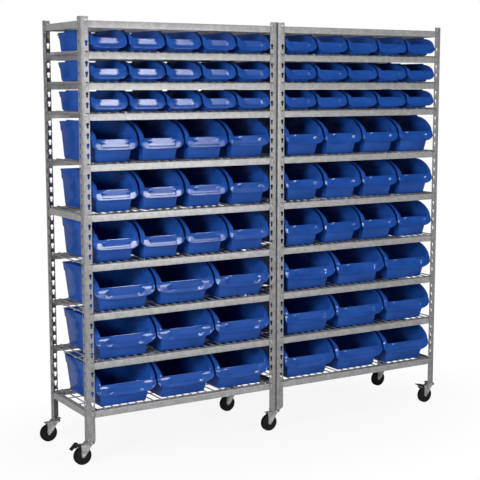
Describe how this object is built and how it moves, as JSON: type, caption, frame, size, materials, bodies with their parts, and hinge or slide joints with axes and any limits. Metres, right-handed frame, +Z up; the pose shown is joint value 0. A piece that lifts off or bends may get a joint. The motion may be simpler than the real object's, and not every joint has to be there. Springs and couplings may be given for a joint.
{
  "type": "mobile bin cart",
  "caption": "Wheeled frame of slotted angle in two bays, with wire decks, open-front hopper bins that pull out, swivel casters and two foot brakes",
  "frame": {"origin": "on the floor, under the middle of the whole cart", "axes": "+X along the front towards the right bay, +Y from the bins' open front to the rear, +Z up"},
  "size_m": [1.8144, 0.3958, 1.7078],
  "materials": {
    "post_paint": "speckled silver-grey paint on steel angle",
    "beam_paint": "light silver-grey paint on steel, satin",
    "zinc_plate": "pressed steel with dull zinc plate",
    "wheel_rubber": "black rubber, satin",
    "pedal_black": "black, matte, ribbed tread",
    "bin_blue": "blue moulded plastic, half gloss"
  },
  "bodies": {
    "frame": {"front_left_post": "post_paint", "front_centre_left_post": "post_paint", "front_centre_right_post": "post_paint", "front_right_post": "post_paint", "rear_left_post": "post_paint", "rear_centre_left_post": "post_paint", "rear_centre_right_post": "post_paint", "rear_right_post": "post_paint", "left_top_frame": "beam_paint", "left_shelf_1": "beam_paint", "left_shelf_2": "beam_paint", "left_shelf_3": "beam_paint", "left_shelf_4": "beam_paint", "left_shelf_5": "beam_paint", "left_shelf_6": "beam_paint", "left_shelf_7": "beam_paint", "left_shelf_8": "beam_paint", "left_shelf_9": "beam_paint", "right_top_frame": "beam_paint", "right_shelf_1": "beam_paint", "right_shelf_2": "beam_paint", "right_shelf_3": "beam_paint", "right_shelf_4": "beam_paint", "right_shelf_5": "beam_paint", "right_shelf_6": "beam_paint", "right_shelf_7": "beam_paint", "right_shelf_8": "beam_paint", "right_shelf_9": "beam_paint"},
    "front_left_fork": {"front_left_caster_fork": "zinc_plate"},
    "front_left_wheel": {"front_left_caster_wheel": "wheel_rubber"},
    "front_left_pedal": {"front_left_brake_pedal": "pedal_black"},
    "front_centre_fork": {"front_centre_caster_fork": "zinc_plate"},
    "front_centre_wheel": {"front_centre_caster_wheel": "wheel_rubber"},
    "front_right_fork": {"front_right_caster_fork": "zinc_plate"},
    "front_right_wheel": {"front_right_caster_wheel": "wheel_rubber"},
    "front_right_pedal": {"front_right_brake_pedal": "pedal_black"},
    "rear_left_fork": {"rear_left_caster_fork": "zinc_plate"},
    "rear_left_wheel": {"rear_left_caster_wheel": "wheel_rubber"},
    "rear_centre_fork": {"rear_centre_caster_fork": "zinc_plate"},
    "rear_centre_wheel": {"rear_centre_caster_wheel": "wheel_rubber"},
    "rear_right_fork": {"rear_right_caster_fork": "zinc_plate"},
    "rear_right_wheel": {"rear_right_caster_wheel": "wheel_rubber"},
    "left_row_1": {"left_bin_row_1": "bin_blue"},
    "left_row_2": {"left_bin_row_2": "bin_blue"},
    "left_row_3": {"left_bin_row_3": "bin_blue"},
    "left_row_4": {"left_bin_row_4": "bin_blue"},
    "left_row_5": {"left_bin_row_5": "bin_blue"},
    "left_row_6": {"left_bin_row_6": "bin_blue"},
    "left_row_7": {"left_bin_row_7": "bin_blue"},
    "left_row_8": {"left_bin_row_8": "bin_blue"},
    "left_row_9": {"left_bin_row_9": "bin_blue"},
    "right_row_1": {"right_bin_row_1": "bin_blue"},
    "right_row_2": {"right_bin_row_2": "bin_blue"},
    "right_row_3": {"right_bin_row_3": "bin_blue"},
    "right_row_4": {"right_bin_row_4": "bin_blue"},
    "right_row_5": {"right_bin_row_5": "bin_blue"},
    "right_row_6": {"right_bin_row_6": "bin_blue"},
    "right_row_7": {"right_bin_row_7": "bin_blue"},
    "right_row_8": {"right_bin_row_8": "bin_blue"},
    "right_row_9": {"right_bin_row_9": "bin_blue"}
  },
  "joints": [
    {"name": "front_left_swivel", "type": "hinge", "parent": "frame", "child": "front_left_fork", "pos_m": [-0.82647, -0.17385, 0.087], "axis": [0, 0, 1], "continuous": true},
    {"name": "front_left_wheel_spin", "type": "hinge", "parent": "front_left_fork", "child": "front_left_wheel", "pos_m": [-0.85547, -0.17385, 0.0355], "axis": [0, 1, 0], "continuous": true},
    {"name": "front_left_pedal_tilt", "type": "hinge", "parent": "front_left_fork", "child": "front_left_pedal", "pos_m": [-0.88047, -0.17385, 0.075], "axis": [0, 1, 0], "range_deg": [0, 50]},
    {"name": "front_centre_swivel", "type": "hinge", "parent": "frame", "child": "front_centre_fork", "pos_m": [0.02893, -0.17385, 0.087], "axis": [0, 0, 1], "continuous": true},
    {"name": "front_centre_wheel_spin", "type": "hinge", "parent": "front_centre_fork", "child": "front_centre_wheel", "pos_m": [-0.00007, -0.17385, 0.0355], "axis": [0, 1, 0], "continuous": true},
    {"name": "front_right_swivel", "type": "hinge", "parent": "frame", "child": "front_right_fork", "pos_m": [0.88433, -0.17385, 0.087], "axis": [0, 0, 1], "continuous": true},
    {"name": "front_right_wheel_spin", "type": "hinge", "parent": "front_right_fork", "child": "front_right_wheel", "pos_m": [0.85533, -0.17385, 0.0355], "axis": [0, 1, 0], "continuous": true},
    {"name": "front_right_pedal_tilt", "type": "hinge", "parent": "front_right_fork", "child": "front_right_pedal", "pos_m": [0.83033, -0.17385, 0.075], "axis": [0, 1, 0], "range_deg": [-50, 0]},
    {"name": "rear_left_swivel", "type": "hinge", "parent": "frame", "child": "rear_left_fork", "pos_m": [-0.82647, 0.17385, 0.087], "axis": [0, 0, 1], "continuous": true},
    {"name": "rear_left_wheel_spin", "type": "hinge", "parent": "rear_left_fork", "child": "rear_left_wheel", "pos_m": [-0.85547, 0.17385, 0.0355], "axis": [0, 1, 0], "continuous": true},
    {"name": "rear_centre_swivel", "type": "hinge", "parent": "frame", "child": "rear_centre_fork", "pos_m": [0.02893, 0.17385, 0.087], "axis": [0, 0, 1], "continuous": true},
    {"name": "rear_centre_wheel_spin", "type": "hinge", "parent": "rear_centre_fork", "child": "rear_centre_wheel", "pos_m": [-0.00007, 0.17385, 0.0355], "axis": [0, 1, 0], "continuous": true},
    {"name": "rear_right_swivel", "type": "hinge", "parent": "frame", "child": "rear_right_fork", "pos_m": [0.88433, 0.17385, 0.087], "axis": [0, 0, 1], "continuous": true},
    {"name": "rear_right_wheel_spin", "type": "hinge", "parent": "rear_right_fork", "child": "rear_right_wheel", "pos_m": [0.85533, 0.17385, 0.0355], "axis": [0, 1, 0], "continuous": true},
    {"name": "left_row_1_slide", "type": "slide", "parent": "frame", "child": "left_row_1", "axis": [0, -1, 0], "range_m": [0, 0.3]},
    {"name": "left_row_2_slide", "type": "slide", "parent": "frame", "child": "left_row_2", "axis": [0, -1, 0], "range_m": [0, 0.3]},
    {"name": "left_row_3_slide", "type": "slide", "parent": "frame", "child": "left_row_3", "axis": [0, -1, 0], "range_m": [0, 0.3]},
    {"name": "left_row_4_slide", "type": "slide", "parent": "frame", "child": "left_row_4", "axis": [0, -1, 0], "range_m": [0, 0.3]},
    {"name": "left_row_5_slide", "type": "slide", "parent": "frame", "child": "left_row_5", "axis": [0, -1, 0], "range_m": [0, 0.3]},
    {"name": "left_row_6_slide", "type": "slide", "parent": "frame", "child": "left_row_6", "axis": [0, -1, 0], "range_m": [0, 0.3]},
    {"name": "left_row_7_slide", "type": "slide", "parent": "frame", "child": "left_row_7", "axis": [0, -1, 0], "range_m": [0, 0.3]},
    {"name": "left_row_8_slide", "type": "slide", "parent": "frame", "child": "left_row_8", "axis": [0, -1, 0], "range_m": [0, 0.3]},
    {"name": "left_row_9_slide", "type": "slide", "parent": "frame", "child": "left_row_9", "axis": [0, -1, 0], "range_m": [0, 0.3]},
    {"name": "right_row_1_slide", "type": "slide", "parent": "frame", "child": "right_row_1", "axis": [0, -1, 0], "range_m": [0, 0.3]},
    {"name": "right_row_2_slide", "type": "slide", "parent": "frame", "child": "right_row_2", "axis": [0, -1, 0], "range_m": [0, 0.3]},
    {"name": "right_row_3_slide", "type": "slide", "parent": "frame", "child": "right_row_3", "axis": [0, -1, 0], "range_m": [0, 0.3]},
    {"name": "right_row_4_slide", "type": "slide", "parent": "frame", "child": "right_row_4", "axis": [0, -1, 0], "range_m": [0, 0.3]},
    {"name": "right_row_5_slide", "type": "slide", "parent": "frame", "child": "right_row_5", "axis": [0, -1, 0], "range_m": [0, 0.3]},
    {"name": "right_row_6_slide", "type": "slide", "parent": "frame", "child": "right_row_6", "axis": [0, -1, 0], "range_m": [0, 0.3]},
    {"name": "right_row_7_slide", "type": "slide", "parent": "frame", "child": "right_row_7", "axis": [0, -1, 0], "range_m": [0, 0.3]},
    {"name": "right_row_8_slide", "type": "slide", "parent": "frame", "child": "right_row_8", "axis": [0, -1, 0], "range_m": [0, 0.3]},
    {"name": "right_row_9_slide", "type": "slide", "parent": "frame", "child": "right_row_9", "axis": [0, -1, 0], "range_m": [0, 0.3]}
  ]
}
